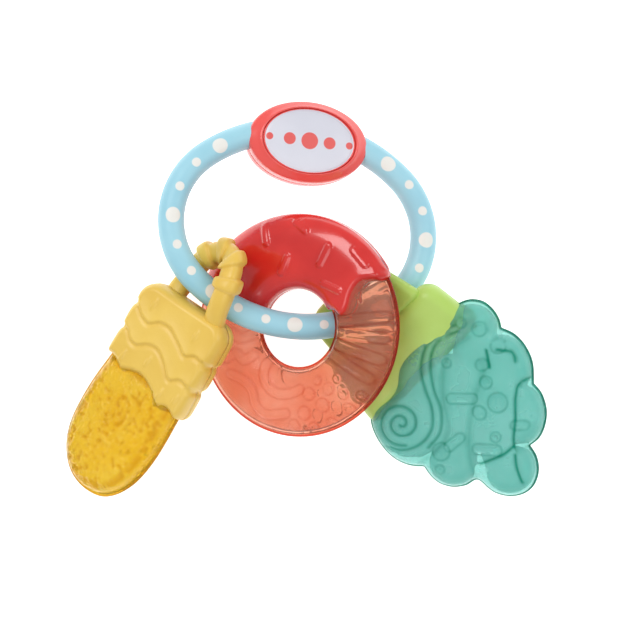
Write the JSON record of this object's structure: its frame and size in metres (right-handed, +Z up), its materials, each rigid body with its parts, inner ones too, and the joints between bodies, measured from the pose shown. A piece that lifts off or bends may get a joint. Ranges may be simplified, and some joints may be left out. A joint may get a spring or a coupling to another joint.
{
  "type": "teething ring",
  "caption": "Oval teething ring with an oval badge, threaded through a donut, a popsicle and a cupcake charm filled with gel, which slide, swing and turn on it.",
  "frame": {"origin": "centre of the toy's bounding box, on the table that it lies on", "axes": "+Z up out of the table; +Y from the charms to the badge; +X to the cupcake's side; the toy lies flat, as laid down, with its badge face up"},
  "size_m": [0.1512, 0.1228, 0.0355],
  "materials": {
    "ring_blue": "matte light blue moulded tube with off-white printed dots",
    "badge_red": "glossy coral red moulded shell",
    "label_white": "satin pale lavender-white inlay",
    "icing_red": "glossy opaque red moulded shell",
    "donut_gel_skin": "translucent orange-red soft skin with moulded relief",
    "donut_gel": "translucent orange-red gel",
    "topping_yellow": "satin opaque soft yellow",
    "popsicle_gel_skin": "translucent golden yellow soft skin, rough relief",
    "popsicle_gel": "translucent golden yellow gel",
    "wrapper_green": "satin opaque lime green",
    "cream_skin": "translucent teal soft skin with swirled relief",
    "cream_gel": "translucent teal gel"
  },
  "bodies": {
    "ring": {"badge_back_label": "label_white", "badge_back_shell": "badge_red", "badge_front_label": "label_white", "badge_front_shell": "badge_red", "ring_tube": "ring_blue"},
    "donut": {"donut_gel_back": "donut_gel_skin", "donut_gel_fill": "donut_gel", "donut_gel_front": "donut_gel_skin", "donut_icing_back": "icing_red", "donut_icing_front": "icing_red"},
    "popsicle": {"popsicle_gel_back": "popsicle_gel_skin", "popsicle_gel_fill": "popsicle_gel", "popsicle_gel_front": "popsicle_gel_skin", "popsicle_loop": "topping_yellow", "popsicle_topping_back": "topping_yellow", "popsicle_topping_front": "topping_yellow"},
    "cupcake": {"cupcake_cream_back": "cream_skin", "cupcake_cream_front": "cream_skin", "cupcake_gel_fill": "cream_gel", "cupcake_handle": "wrapper_green", "cupcake_wrapper_back": "wrapper_green", "cupcake_wrapper_front": "wrapper_green"}
  },
  "joints": [
    {"name": "donut_spin", "type": "hinge", "parent": "ring", "child": "donut", "pos_m": [-0.00264, -0.00705, 0.0171], "axis": [-0.4305, 0, 0.9026], "continuous": true},
    {"name": "popsicle_swing", "type": "hinge", "parent": "ring", "child": "popsicle", "pos_m": [-0.03086, 0.00448, 0.02163], "axis": [-0.7537, 0.6529, 0.0756], "range_deg": [0, 25]},
    {"name": "cupcake_slide", "type": "hinge", "parent": "ring", "child": "cupcake", "pos_m": [-0.00134, 0.03983, 0.01065], "axis": [0.2079, 0.1277, 0.9698], "range_deg": [0, 28]}
  ]
}
